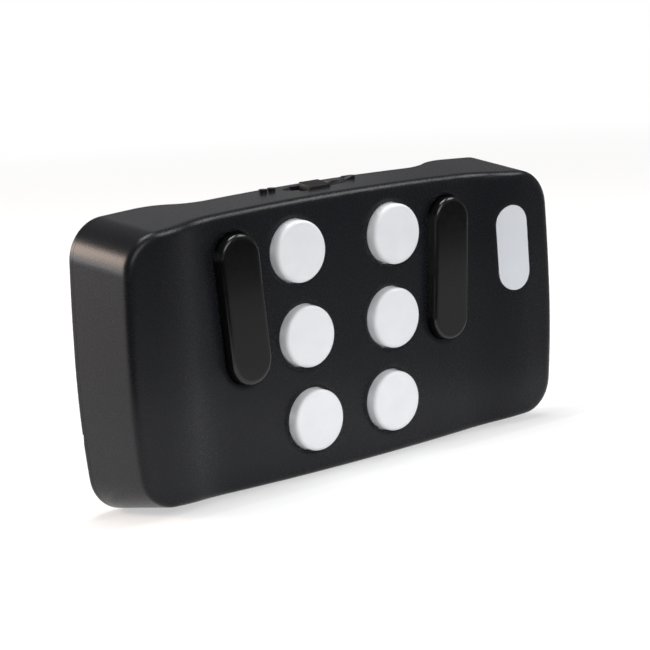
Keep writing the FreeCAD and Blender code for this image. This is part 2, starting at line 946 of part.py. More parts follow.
def long_key(label, x, z, lean):
    body = new_body(label)
    width = size("long_key_width")
    length = size("long_key_length")
    front = -size("long_key_proud")
    lip_front = lip_front_y()
    wall = size("key_wall")
    grow = 2 * (size("key_gap") + size("lip_width"))
    cap = face_sketch(body, label + "_cap", front, stadium_outline(width, length))
    pad(body, cap, lip_front - front)
    lip = face_sketch(body, label + "_lip", lip_front, stadium_outline(width + grow, length + grow))
    pad(body, lip, size("lip_thickness"), follows="Sizes.lip_thickness")
    inner = stadium_outline(width - 2 * wall, length - 2 * wall)
    hollow = face_sketch(body, label + "_hollow", front + wall, inner)
    pocket(body, hollow, lip_front + size("lip_thickness") - front - wall)
    post = bound_circle_sketch(body, label + "_post", front + wall / 2, "key_post_radius")
    pad(body, post, post_end_y() - front - wall / 2)
    DOC.recompute()
    round_rim(body, label + "_rim", front, "key_edge_round")
    body.Placement = lean_placement(x, z, lean)
    return body


def plunger(label, x, z, lean=0.0):
    body = new_body(label)
    sketch = bound_circle_sketch(body, label + "_circle", post_end_y(), "plunger_radius")
    pad(body, sketch, size("key_travel") + size("plunger_bite"), follows="Sizes.key_travel + Sizes.plunger_bite")
    body.Placement = lean_placement(x, z, lean)
    return body


def push_switch(label, x, z, lean=0.0):
    """A low square switch body with a bore for its plunger and four soldered legs."""
    body = new_body(label)
    half = size("tact_width") / 2
    chamfer = size("tact_chamfer")
    near = half - chamfer
    points = [(-near, -half), (near, -half), (half, -near), (half, near), (near, half), (-near, half),
              (-half, near), (-half, -near)]
    base = face_sketch(body, label + "_base", tact_front_y(), polygon(points))
    pad(body, base, size("tact_height"), follows="Sizes.tact_height")
    leg = size("tact_leg_thickness")
    reach = size("tact_leg_reach")
    leg_width = size("tact_leg_width")
    legs = face_sketch(body, label + "_legs", size("board_set") - leg, [
        curve
        for side in (-1, 1)
        for curve in rectangle(size("tact_width") + 2 * reach, leg_width, 0.0, side * (near - leg_width / 2))
    ])
    pad(body, legs, leg, follows="Sizes.tact_leg_thickness")
    bore = face_sketch(body, label + "_bore", tact_front_y(),
                       [circle(size("plunger_radius") + size("plunger_gap"))])
    pocket(body, bore, size("plunger_bite") + size("key_travel") + size("plunger_gap"))
    body.Placement = lean_placement(x, z, lean)
    return body


# Board


def main_board():
    body = new_body("main_board")
    y = size("board_set")
    gap = size("side_wall") + size("board_gap")
    pad(body, face_sketch(body, "board_outline", y, outline_at(y, gap)), size("board_thickness"),
        follows="Sizes.board_thickness")
    clear = size("case_boss_radius") + size("board_boss_gap")
    corners = [circle(clear, x, z) for x, z in screw_places("case")]
    pocket(body, face_sketch(body, "board_corner_cuts", y, corners), size("board_thickness"),
           follows="Sizes.board_thickness")
    hole = size("board_screw_radius") + size("screw_gap")
    holes = [circle(hole, x, z) for x, z in screw_places("board")]
    pocket(body, face_sketch(body, "board_screw_holes", y, holes), size("board_thickness"),
           follows="Sizes.board_thickness")
    left, right = slide_body_limits()
    gap = size("slide_body_gap")
    low = slide_body_top() - size("slide_body_height") - gap
    notch = rectangle(right - left + 2 * gap, FAR, (left + right) / 2, low + FAR / 2)
    pocket(body, face_sketch(body, "board_slide_notch", y, notch), size("board_thickness"),
           follows="Sizes.board_thickness")
    return body


def headed_screw(label, kind, x, z):
    """A slotted screw that goes in from the rear, drawn about its head seat."""
    body = new_body(label)
    seat = pilot_seat_y(kind)
    length = size(kind + "_screw_length")
    shank_radius = size(kind + "_screw_radius") - size("screw_gap") / 2
    shank = face_sketch(body, label + "_shank", seat - length, [circle(shank_radius)])
    pad(body, shank, length)
    head = bound_circle_sketch(body, label + "_head", seat, "screw_head_radius")
    pad(body, head, size("screw_head_height"), follows="Sizes.screw_head_height")
    slot_y = seat + size("screw_head_height") - size("screw_slot_depth")
    across = rectangle(2 * size("screw_head_radius") + BEYOND, size("screw_slot_width"))
    slot = face_sketch(body, label + "_slot", slot_y, across)
    pocket(body, slot, size("screw_slot_depth") + BEYOND)
    body.Placement = lean_placement(x, z)
    return body


# Power slide


def slide_body_limits():
    middle = size("knob_middle_x") - size("knob_travel") / 2
    half = size("slide_body_length") / 2
    return middle - half, middle + half


def slide_body_top():
    """Just under the upper wall where that wall is lowest over the switch."""
    front = size("knob_middle_y") - size("slide_body_width") / 2
    inner = half_height_at(size("knob_middle_x"), front, size("side_wall"))
    return inner - size("slide_body_gap")


def slide_switch_body():
    left, right = slide_body_limits()
    top = slide_body_top()
    height = size("slide_body_height")
    middle_x = (left + right) / 2
    y = size("knob_middle_y")
    middle = Vector(middle_x, y, top - height / 2)
    block = box("slide_block", right - left, size("slide_body_width"), height, middle)
    gap = size("knob_gap") / 2
    trough_length = size("knob_stem_length") + size("knob_travel") + 2 * gap
    drop = size("knob_stem_drop") + gap
    trough_width = size("knob_stem_width") + 2 * gap
    trough = box("slide_trough", trough_length, trough_width, 2 * drop, Vector(middle_x, y, top))
    housing = cut("slide_housing", block, trough)
    legs = []
    leg_z = top - height
    for step in (-1, 0, 1):
        x = middle_x + step * size("slide_leg_pitch")
        leg_y = board_rear_y() + size("slide_leg_thickness") / 2
        length = size("slide_leg_length")
        leg = box("slide_leg_%d" % (step + 2), size("slide_leg_width"), size("slide_leg_thickness"), length,
                  Vector(x, leg_y, leg_z - length / 2 + size("slide_body_gap")))
        legs.append(leg)
    return fuse("slide_switch_body", [housing] + legs)


def power_knob():
    """The finger cap that stands in the scoop, with a stem in the switch's trough."""
    left, right = knob_limits()
    top = top_z_at_knob() + size("knob_proud")
    body_top = slide_body_top()
    gap = size("knob_gap") / 2
    y = size("knob_middle_y")
    middle_x = (left + right) / 2
    body = new_body("power_knob")
    cap_low = body_top + gap
    cap = upper_sketch(body, "knob_cap", top, rectangle(right - left, size("knob_width"), middle_x, y))
    pad(body, cap, top - cap_low)
    stem = upper_sketch(body, "knob_stem", cap_low,
                        rectangle(size("knob_stem_length"), size("knob_stem_width"), middle_x, y))
    pad(body, stem, size("knob_stem_drop"))
    DOC.recompute()
    names = []
    for index, edge in enumerate(body.Tip.Shape.Edges, start=1):
        if min(point.z for point in edge.discretize(3)) > top_z_at_knob():
            names.append("Edge%d" % index)
    round_edges(body, "knob_soft_edges", names, size("knob_round"), "Sizes.knob_round")
    return body


# Charging socket


def port_mouth_x():
    return half_length_at(0.0, port_middle_y()) - size("port_recess")


def port_shell():
    body = new_body("port_shell")
    start = port_mouth_x() - size("port_length")
    outline = stadium_outline(size("port_height"), size("port_width"), port_middle_y(), 0.0)
    sketch = new_sketch(body, "port_shell_outline", "YZ_Plane", start, outline)
    pad(body, sketch, size("port_length"), backwards=False, follows="Sizes.port_length")
    wall = size("port_wall")
    inner = stadium_outline(size("port_height") - 2 * wall, size("port_width") - 2 * wall, port_middle_y(), 0.0)
    cavity = new_sketch(body, "port_cavity", "YZ_Plane", start + wall, inner)
    pocket(body, cavity, size("port_length"), backwards=True)
    return body


def port_tongue():
    body = new_body("port_tongue")
    start = port_mouth_x() - size("port_length") + size("port_wall")
    outline = rectangle(size("tongue_thickness"), size("tongue_width"), port_middle_y(), 0.0)
    sketch = new_sketch(body, "tongue_outline", "YZ_Plane", start, outline)
    pad(body, sketch, size("tongue_length"), backwards=False, follows="Sizes.tongue_length")
    return body


# Cell, leads and foam


def cell_front_y():
    return board_rear_y() + size("cell_gap")


def cell_middle_x():
    return size("cell_inset") - size("rear_length") / 2


def plug_middle_x():
    return size("plug_inset") - size("rear_length") / 2


def battery_cell():
    body = new_body("battery_cell")
    curves = rectangle(size("cell_width"), size("cell_length"), cell_middle_x(), 0.0)
    pad(body, face_sketch(body, "cell_outline", cell_front_y(), curves), size("cell_thickness"),
        follows="Sizes.cell_thickness")
    DOC.recompute()
    names = []
    for index, edge in enumerate(body.Tip.Shape.Edges, start=1):
        first, last = edge.Vertexes[0].Point, edge.Vertexes[-1].Point
        if abs(first.z - last.z) > size("cell_length") / 2:
            names.append("Edge%d" % index)
    round_edges(body, "cell_soft_edges", names, size("cell_round"), "Sizes.cell_round")
    return body


def foam_pad():
    body = new_body("foam_pad")
    inset = 2 * size("pad_inset")
    front = cell_front_y() + size("cell_thickness")
    rear = cover_inner_middle_y() + size("rear_set_back")
    width = size("cell_width") - inset
    length = size("cell_length") - inset
    curves = rectangle(width, length, cell_middle_x(), 0.0)
    pad(body, face_sketch(body, "foam_outline", front, curves), rear - front)
    return body


def battery_plug():
    body = new_body("battery_plug")
    curves = rectangle(size("plug_width"), size("plug_length"), plug_middle_x(), size("plug_z"))
    pad(body, face_sketch(body, "plug_outline", board_rear_y(), curves), size("plug_height"),
        follows="Sizes.plug_height")
    return body


def battery_leads():
    """Two insulated leads that leave the cell level and drop a little on the way to the plug."""
    start_x = cell_middle_x() + size("cell_width") / 2
    end_x = plug_middle_x() - size("plug_width") / 2
    left = (start_x + end_x - size("lead_run")) / 2
    right = left + size("lead_run")
    y = board_rear_y() + size("plug_height") / 2
    leads = []
    for number, side in enumerate((-0.5, 0.5), start=1):
        end_z = size("plug_z") + side * size("lead_pitch")
        start_z = end_z + size("lead_drop")
        body = new_body("battery_lead_%d" % number)
        path = face_sketch(body, body.Name + "_path", y, [
            Part.LineSegment(Vector(start_x, start_z, 0), Vector(left, start_z, 0)),
            *bend_points(left, start_z, right, end_z),
            Part.LineSegment(Vector(right, end_z, 0), Vector(end_x, end_z, 0)),
        ])
        profile = new_sketch(body, body.Name + "_profile", "YZ_Plane", start_x,
                             [circle(size("lead_radius"), y, start_z)])
        pipe = body.newObject("PartDesign::AdditivePipe", body.Name + "_pipe")
        pipe.Profile = profile
        pipe.Spine = path
        leads.append(body)
    return fuse("battery_leads", leads)


# Electronics


def vibration_motor():
    body = new_body("vibration_motor")
    sketch = bound_circle_sketch(body, "motor_circle", board_rear_y(), "motor_radius")
    pad(body, sketch, size("motor_height"), follows="Sizes.motor_height")
    DOC.recompute()
    round_rim(body, "motor_rim", board_rear_y() + size("motor_height"), "motor_edge_round")
    body.Placement = lean_placement(size("rear_length") / 2 - size("motor_inset"), size("motor_z"))
    return body


def wireless_module():
    """A small board with a shielding can on it and its antenna end left bare."""
    body = new_body("wireless_module")
    y = board_rear_y()
    length = size("radio_length")
    width = size("radio_width")
    base = face_sketch(body, "radio_board", y, rectangle(width, length, size("radio_x"), size("radio_z")))
    pad(body, base, size("radio_board"), follows="Sizes.radio_board")
    can_length = size("radio_can_length")
    margin = size("radio_margin")
    can_z = size("radio_z") - (length - can_length) / 2 + margin
    can = face_sketch(body, "radio_can", y + size("radio_board"),
                      rectangle(width - 2 * margin, can_length, size("radio_x"), can_z))
    pad(body, can, size("radio_can"), follows="Sizes.radio_can")
    return body


def processor():
    body = new_body("processor")
    curves = rectangle(size("chip_size"), size("chip_size"), size("chip_x"), size("chip_z"))
    pad(body, face_sketch(body, "chip_outline", board_rear_y(), curves), size("chip_thickness"),
        follows="Sizes.chip_thickness")
    return body


def small_parts():
    """A row of chip capacitors beside the processor."""
    body = new_body("small_parts")
    x = size("chip_x") - size("chip_size") / 2 - size("small_pitch")
    z = size("chip_z") + size("chip_size") / 2
    curves = rectangle(size("small_length"), size("small_width"), x, z)
    sketch = face_sketch(body, "small_outline", board_rear_y(), curves)
    first = pad(body, sketch, size("small_thickness"), follows="Sizes.small_thickness")
    DOC.recompute()
    row = body.newObject("PartDesign::LinearPattern", "small_row")
    row.Originals = [first]
    row.Direction = (sketch, ["V_Axis"])
    row.Reversed = True
    row.Length = size("small_pitch") * (SMALL_COUNT - 1)
    row.Occurrences = SMALL_COUNT
    body.Tip = row
    return body


# Whole device


def middle_y():
    return (face_ends_y() + rear_ends_y() + size("foot_height")) / 2


def build_nodes():
    nodes = [front_shell(), back_cover()]
    proud = size("label_proud")
    nodes.append(label_block("label_plate", 0.0, -proud, size("label_thickness") - proud))
    for number, (x, z) in enumerate(round_key_places(), start=1):
        nodes.append(round_key("dot_key_%d" % number, x, z))
        nodes.append(plunger("plunger_%d" % number, x, z))
        nodes.append(push_switch("push_switch_%d" % number, x, z))
    for name, (x, z, lean) in zip(("left", "right"), long_key_places()):
        nodes.append(long_key("long_key_" + name, x, z, lean))
        nodes.append(plunger("plunger_" + name, x, z, lean))
        nodes.append(push_switch("push_switch_" + name, x, z, lean))
    nodes.append(main_board())
    nodes += [slide_switch_body(), power_knob(), port_shell(), port_tongue()]
    nodes += [battery_cell(), battery_leads(), battery_plug(), foam_pad()]
    nodes += [vibration_motor(), wireless_module(), processor(), small_parts()]
    for kind in ("board", "case"):
        for number, (x, z) in enumerate(screw_places(kind), start=1):
            nodes.append(headed_screw("%s_screw_%d" % (kind, number), kind, x, z))
    nodes += rubber_feet()
    return nodes


def stand_height(nodes):
    """From the middle of the key face down to the lowest line of the two housing halves."""
    return max(-node.Shape.optimalBoundingBox(False, False).ZMin for node in nodes[:2])


def place_in_frame(nodes):
    height = stand_height(nodes)
    print("middle of the key face is %.4f behind the middle plane and %.4f up" % (-middle_y(), height))
    shift = Placement(Vector(0, -middle_y(), height), Rotation())
    for node in nodes:
        node.Placement = shift.multiply(node.Placement)


def check_document(nodes):
    faults = []
    for item in DOC.Objects:
        if "Invalid" in item.State or "Error" in item.State:
            faults.append("%s did not build" % item.Label)
    for node in nodes:
        shape = node.Shape
        count = 0 if shape.isNull() else len(shape.Solids)
        if count < 1 or count > MOST_SOLIDS.get(node.Label, 1) or not shape.isValid():
            faults.append("%s has %d solids" % (node.Label, count))
    if faults:
        raise RuntimeError("; ".join(faults))


def write_steps(nodes):
    os.makedirs("parts", exist_ok=True)
    for node in nodes:
        node.Shape.exportStep(os.path.join("parts", node.Label + ".step"))
        print("%-20s solids %d volume %.1f" % (node.Label, len(node.Shape.Solids), node.Shape.Volume))


def main():
    fill_sheet()
    nodes = build_nodes()
    DOC.recompute()
    place_in_frame(nodes)
    DOC.recompute()
    check_document(nodes)
    write_steps(nodes)


main()
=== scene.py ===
import math

import bmesh
import bpy
from bpy.props import FloatProperty, FloatVectorProperty, PointerProperty
from mathutils import Matrix, Vector


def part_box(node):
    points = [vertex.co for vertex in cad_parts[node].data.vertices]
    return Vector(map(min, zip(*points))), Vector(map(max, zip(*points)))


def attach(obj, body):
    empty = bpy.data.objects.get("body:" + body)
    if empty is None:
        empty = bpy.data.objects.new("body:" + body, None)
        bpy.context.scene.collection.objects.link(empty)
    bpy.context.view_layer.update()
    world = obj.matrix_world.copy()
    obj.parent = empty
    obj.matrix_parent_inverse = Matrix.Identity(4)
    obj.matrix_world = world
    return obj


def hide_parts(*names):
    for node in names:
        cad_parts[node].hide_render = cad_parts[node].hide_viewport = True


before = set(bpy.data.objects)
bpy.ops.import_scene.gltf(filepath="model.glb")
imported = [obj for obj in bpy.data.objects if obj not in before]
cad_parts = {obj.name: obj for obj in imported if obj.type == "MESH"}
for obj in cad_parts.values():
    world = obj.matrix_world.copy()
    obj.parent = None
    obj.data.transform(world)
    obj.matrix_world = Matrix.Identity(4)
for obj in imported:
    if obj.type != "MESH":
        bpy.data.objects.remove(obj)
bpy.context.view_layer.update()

bl_info = {
    "name": "Pocket braille keyboard",
    "version": (1, 0, 0),
    "blender": (4, 5, 0),
    "location": "3D View > Sidebar > Keyboard",
    "description": "Finishes and dresses a pocket braille keyboard around its CAD frame",
    "category": "Object",
}

MM = 0.001
SIDES = ("left", "right")
DOT_NUMBERS = range(1, 7)
CORNERS = range(1, 5)
SWITCHES = [str(number) for number in DOT_NUMBERS] + list(SIDES)


def linear(hex_colour):
    """An sRGB hex value as linear red, green, blue and alpha."""
    channels = [int(hex_colour[i:i + 2], 16) / 255 for i in (1, 3, 5)]
    return tuple(c / 12.92 if c <= 0.04045 else ((c + 0.055) / 1.055) ** 2.4 for c in channels) + (1.0,)


# Node trees


def add_node(tree, kind, settings=None, inputs=None, links=None):
    """Adds a node, sets its options and sockets, and links other nodes' outputs to its sockets.

    Sockets go by name, or by number where a node has several of one name.
    """
    node = tree.nodes.new(kind)
    for name, value in (settings or {}).items():
        setattr(node, name, value)
    for socket, value in (inputs or {}).items():
        node.inputs[socket].default_value = value
    for socket, source in (links or {}).items():
        tree.links.new(source, node.inputs[socket])
    return node


def new_material(name):
    """A material and its node tree, which is still empty."""
    material = bpy.data.materials.new(name)
    material.use_nodes = True
    material.node_tree.nodes.clear()
    return material, material.node_tree


# Edges turn softly on the key side, up to the first of these places along Y. From the second one on they stay
# as the solids have them, so that the power slide's slot and the raised marks keep their shape.
SOFT_EDGES_TO = -4.9 * MM
CRISP_EDGES_FROM = -4.3 * MM
EDGE_SAMPLES = 8


def soft_edges(tree, points, radius_mm):
    """A normal that turns gently over the key side's edges, while those further back stay crisp."""
    depth = add_node(tree, "ShaderNodeSeparateXYZ", links={"Vector": points}).outputs["Y"]
    radius = add_node(
        tree, "ShaderNodeMapRange",
        inputs={
            "From Min": SOFT_EDGES_TO, "From Max": CRISP_EDGES_FROM, "To Min": radius_mm * MM, "To Max": 0.0,
        },
        links={"Value": depth},
    ).outputs["Result"]
    bevel = add_node(tree, "ShaderNodeBevel", {"samples": EDGE_SAMPLES}, links={"Radius": radius})
    return bevel.outputs["Normal"]


# A noise pattern keeps mostly between these two values.
NOISE_LOW, NOISE_HIGH = 0.3, 0.7
NOISE_ROUGHNESS = 0.5


def patterned_surface(
        name, colours, patterns, roughness, relief_mm, shader, full_drift=False, edge_mm=0.0, stretch=None):
    """A surface whose colour, roughness and relief follow fine patterns.

    patterns gives the size in millimetres and the detail of "grain", which the roughness follows, and of
    "tone" and "relief" where the colour and the relief don't follow the grain too. roughness is its middle and
    how far it strays. full_drift lets the colour reach both of its tones. edge_mm softens the key side's edges
    by that radius, and stretch draws the patterns out along an axis.
    """
    material, tree = new_material(name)
    points = add_node(tree, "ShaderNodeTexCoord").outputs["Object"]
    if stretch:
        drawn_out = add_node(
            tree, "ShaderNodeMapping", inputs={"Scale": stretch}, links={"Vector": points})
        points = drawn_out.outputs["Vector"]
    fields = {
        use: add_node(
            tree, "ShaderNodeTexNoise",
            inputs={"Scale": 1 / (size_mm * MM), "Detail": detail, "Roughness": NOISE_ROUGHNESS},
            links={"Vector": points},
        ).outputs["Fac"]
        for use, (size_mm, detail) in patterns.items()
    }
    grain = fields["grain"]
    tone_low, tone_high = (NOISE_LOW, NOISE_HIGH) if full_drift else (0.0, 1.0)
    share = add_node(
        tree, "ShaderNodeMapRange", inputs={"From Min": tone_low, "From Max": tone_high},
        links={"Value": fields.get("tone", grain)})
    colour = add_node(
        tree, "ShaderNodeMix", {"data_type": "RGBA"}, inputs={6: colours[0], 7: colours[1]},
        links={0: share.outputs["Result"]})
    middle, stray = roughness
    polish = add_node(
        tree, "ShaderNodeMapRange",
        inputs={
            "From Min": NOISE_LOW, "From Max": NOISE_HIGH, "To Min": middle - stray, "To Max": middle + stray,
        },
        links={"Value": grain})
    heights = {"Height": fields.get("relief", grain)}
    if edge_mm:
        heights["Normal"] = soft_edges(tree, points, edge_mm)
    relief = add_node(tree, "ShaderNodeBump", inputs={"Distance": relief_mm * MM}, links=heights)
    surface = add_node(
        tree, "ShaderNodeBsdfPrincipled", inputs=shader,
        links={
            "Base Color": colour.outputs[2], "Roughness": polish.outputs["Result"],
            "Normal": relief.outputs["Normal"],
        })
    add_node(tree, "ShaderNodeOutputMaterial", links={"Surface": surface.outputs["BSDF"]})
    return material


# Finishes

# Moulded grain, pores, print and rolling lines are really a tenth of a millimetre across or less, too fine to
# show. So each finish draws its grain coarser, at the size in millimetres that it gives. Clouding, ripples
# and bloom have about their real size.


def textured_abs(name, colours, roughness, grain_mm, edge_mm):
    """Injection-moulded ABS from a spark-eroded tool: a fine even grain that dulls it to a soft sheen.

    The real grain is about 0.1 mm across, and is drawn about three times coarser and nearly flat.
    """
    return patterned_surface(
        name, colours, {"tone": (9.0, 3.0), "grain": (grain_mm, 1.0)}, roughness=(roughness, 0.012),
        relief_mm=0.0004, shader={"IOR": 1.5, "Specular IOR Level": 0.22}, full_drift=True, edge_mm=edge_mm)


def satin_plastic(name, colours, roughness, sheen=0.5, edge_mm=0.0):
    """Smooth moulded plastic, as on keycaps: even, with faint flow clouding and broad soft reflections."""
    return patterned_surface(
        name, colours, {"tone": (3.0, 2.0), "grain": (0.6, 2.0)}, roughness=(roughness, 0.04),
        relief_mm=0.004, shader={"IOR": 1.53, "Specular IOR Level": sheen}, full_drift=True, edge_mm=edge_mm)


def polished_polycarbonate(name, colours, roughness, edge_mm):
    """Moulded in a polished tool: deep black with clear reflections that ripple very slightly."""
    return patterned_surface(
        name, colours, {"grain": (0.8, 1.0), "relief": (6.0, 1.0)}, roughness=(roughness, 0.02),
        relief_mm=0.01, shader={"IOR": 1.58, "Specular IOR Level": 0.4}, edge_mm=edge_mm)


def printed_film(name, colours):
    """A screen-printed vinyl label: pale and even, with a fine eggshell surface."""
    return patterned_surface(
        name, colours, {"tone": (4.0, 2.0), "grain": (0.4, 1.0)}, roughness=(0.45, 0.05), relief_mm=0.003,
        shader={"IOR": 1.5})


def soft_rubber(name, colours):
    """Moulded rubber or foam: dull, with a faint dusty bloom over fine pores."""
    return patterned_surface(
        name, colours, {"grain": (1.2, 3.0), "relief": (0.35, 2.0)}, roughness=(0.775, 0.075), relief_mm=0.01,
        shader={"IOR": 1.42, "Specular IOR Level": 0.3})


# Draws a pattern out along X, as a sheet's rolling does.
ROLLED_ALONG_X = (0.06, 1.0, 1.0)


def metal_sheet(name, colours, roughness, line_mm=0.4):
    """Rolled or plated metal: fine lines along X break up its reflections."""
    return patterned_surface(
        name, colours, {"grain": (line_mm, 2.0)}, roughness=(roughness, 0.06), relief_mm=0.003,
        shader={"Metallic": 1.0}, stretch=ROLLED_ALONG_X)


TRACK_SPACING_MM = 3.2
TRACK_HEIGHT_MM = 0.03
# As shares of the spacing: how far from its middle line a track is flat, and where it has ended.
TRACK_FLAT_TO, TRACK_ENDS_AT = 0.03, 0.06


def solder_mask(name, ground, track):
    """Glass-epoxy board under solder mask: the copper tracks show as lighter, slightly raised lines."""
    material, tree = new_material(name)
    points = add_node(tree, "ShaderNodeTexCoord").outputs["Object"]
    cells = add_node(
        tree, "ShaderNodeTexVoronoi", {"feature": "DISTANCE_TO_EDGE", "distance": "MANHATTAN"},
        inputs={"Scale": 1 / (TRACK_SPACING_MM * MM)}, links={"Vector": points})
    line = add_node(
        tree, "ShaderNodeMapRange",
        inputs={"From Min": TRACK_FLAT_TO, "From Max": TRACK_ENDS_AT, "To Min": 1.0, "To Max": 0.0},
        links={"Value": cells.outputs["Distance"]},
    ).outputs["Result"]
    colour = add_node(
        tree, "ShaderNodeMix", {"data_type": "RGBA"}, inputs={6: ground, 7: track}, links={0: line})
    relief = add_node(
        tree, "ShaderNodeBump", inputs={"Distance": TRACK_HEIGHT_MM * MM}, links={"Height": line})
    surface = add_node(
        tree, "ShaderNodeBsdfPrincipled", inputs={"IOR": 1.55, "Roughness": 0.3},
        links={"Base Color": colour.outputs[2], "Normal": relief.outputs["Normal"]})
    add_node(tree, "ShaderNodeOutputMaterial", links={"Surface": surface.outputs["BSDF"]})
    return material


# Sizes and colours


class ShellSettings(bpy.types.PropertyGroup):
    """Colours, grain and edges of the housing."""

    colour: FloatVectorProperty(
        name="Shell colour", description="Moulded colour of the housing", subtype="COLOR", size=4,
        default=linear("#141519"), min=0.0, max=1.0)
    cloud_colour: FloatVectorProperty(
        name="Shell clouding", description="Second tone that the moulding drifts to", subtype="COLOR", size=4,
        default=linear("#17181c"), min=0.0, max=1.0)
    roughness: FloatProperty(
        name="Shell roughness", description="How far the grain spreads a reflection", subtype="FACTOR",
        default=0.27, min=0.0, max=1.0)
    grain: FloatProperty(
        name="Grain size", description="Distance between the bumps of the moulded grain", unit="LENGTH",
        default=0.3 * MM, min=0.05 * MM, max=2 * MM)
    edge_round: FloatProperty(
        name="Edge softness", description="Radius over which light turns round the key side's edges",
        unit="LENGTH", default=1.6 * MM, min=0.0, max=3 * MM)


class KeySettings(bpy.types.PropertyGroup):
    """Colours of the keys, and the colour and shape of the knob."""

    dot_colour: FloatVectorProperty(
        name="Dot key colour", description="Colour of the six round keys", subtype="COLOR", size=4,
        default=linear("#e4e6ea"), min=0.0, max=1.0)
    long_colour: FloatVectorProperty(
        name="Long key colour", description="Colour of the two long keys", subtype="COLOR", size=4,
        default=linear("#060607"), min=0.0, max=1.0)
    knob_colour: FloatVectorProperty(
        name="Knob colour", description="Colour of the power slide's knob", subtype="COLOR", size=4,
        default=linear("#101011"), min=0.0, max=1.0)
    knob_slope: FloatProperty(
        name="Knob slope", description="How far the knob's top falls towards the key side", unit="LENGTH",
        default=0.6 * MM, min=0.0, max=1.5 * MM)
    knob_round: FloatProperty(
        name="Knob edge round", description="Radius of the knob's edges", unit="LENGTH",
        default=0.22 * MM, min=0.05 * MM, max=0.5 * MM)


class StageSettings(bpy.types.PropertyGroup):
    """Table and camera."""

    floor_size: FloatProperty(
        name="Table size", description="Length of the table's sides", unit="LENGTH", default=12.0, min=0.5)
    floor_swell: FloatProperty(
        name="Table swell", description="How far the table rises under the lower side's taper", unit="LENGTH",
        default=1.22 * MM, min=0.0)
    lens: FloatProperty(
        name="Lens", description="Focal length for a 36 mm wide picture", unit="CAMERA",
        default=119.894, min=1.0)


# Pieces made here

# The knob is a sloped cap on a stem, which goes down through the slot and reaches into the cap by its bite.
KNOB_CAP_DEPTH = 2.4 * MM
KNOB_STEM_LENGTH = 2.4 * MM
KNOB_STEM_WIDTH = 1.3 * MM
KNOB_STEM_BITE = 0.1 * MM
KNOB_ROUND_STEPS = 3


def add_sloped_block(shape, low, high, drop, edge_round):
    """Adds a rounded block between two corners, whose top falls by drop towards the front."""
    middle = (low + high) / 2
    place = Matrix.Translation(middle) @ Matrix.Diagonal((*(high - low), 1.0))
    verts = bmesh.ops.create_cube(shape, size=1.0, matrix=place)["verts"]
    for vert in verts:
        if vert.co.z > middle.z and vert.co.y < middle.y:
            vert.co.z -= drop
    edges = [edge for edge in shape.edges if edge.verts[0] in verts]
    bmesh.ops.bevel(
        shape, geom=edges, offset=edge_round, segments=KNOB_ROUND_STEPS, profile=0.5, affect="EDGES",
        material=-1)


def new_object(name, shape, material):
    """Makes an object of a bmesh, which is used up."""
    mesh = bpy.data.meshes.new(name)
    shape.to_mesh(mesh)
    shape.free()
    mesh.materials.append(material)
    thing = bpy.data.objects.new(name, mesh)
    bpy.context.scene.collection.objects.link(thing)
    return thing


# Finishing the CAD nodes


def finish_nodes(material, *names):
    """Gives one material to CAD nodes."""
    for name in names:
        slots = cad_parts[name].data.materials
        slots.clear()
        slots.append(material)


class KEYBOARD_OT_housing(bpy.types.Operator):
    """Finish the front shell and the rear cover"""

    bl_idname = "keyboard.housing"
    bl_label = "Housing"

    def execute(self, context):
        shell = context.scene.keyboard_shell
        # Black with a bluish cast, and so even that its colour hardly drifts.
        material = textured_abs(
            "moulded_abs_black", (shell.colour[:], shell.cloud_colour[:]), shell.roughness,
            shell.grain / MM, shell.edge_round / MM)
        finish_nodes(material, "front_shell", "back_cover")
        return {"FINISHED"}


class KEYBOARD_OT_dot_keys(bpy.types.Operator):
    """Finish the six round keys"""

    bl_idname = "keyboard.dot_keys"
    bl_label = "Dot keys"

    def execute(self, context):
        keys = context.scene.keyboard_keys
        # Cool white, and matt enough that a key's edge shows only as a slow change of tone.
        material = satin_plastic(
            "satin_abs_white", (keys.dot_colour[:], linear("#e8eaed")), 0.34, edge_mm=1.1)
        finish_nodes(material, *["dot_key_%d" % number for number in DOT_NUMBERS])
        return {"FINISHED"}


class KEYBOARD_OT_long_keys(bpy.types.Operator):
    """Finish the two long keys"""

    bl_idname = "keyboard.long_keys"
    bl_label = "Long keys"

    def execute(self, context):
        keys = context.scene.keyboard_keys
        # Deeper black than the shell, with a clear line of light round the rim.
        material = polished_polycarbonate(
            "polished_pc_black", (keys.long_colour[:], linear("#09090a")), 0.17, edge_mm=0.8)
        finish_nodes(material, *["long_key_" + side for side in SIDES])
        return {"FINISHED"}


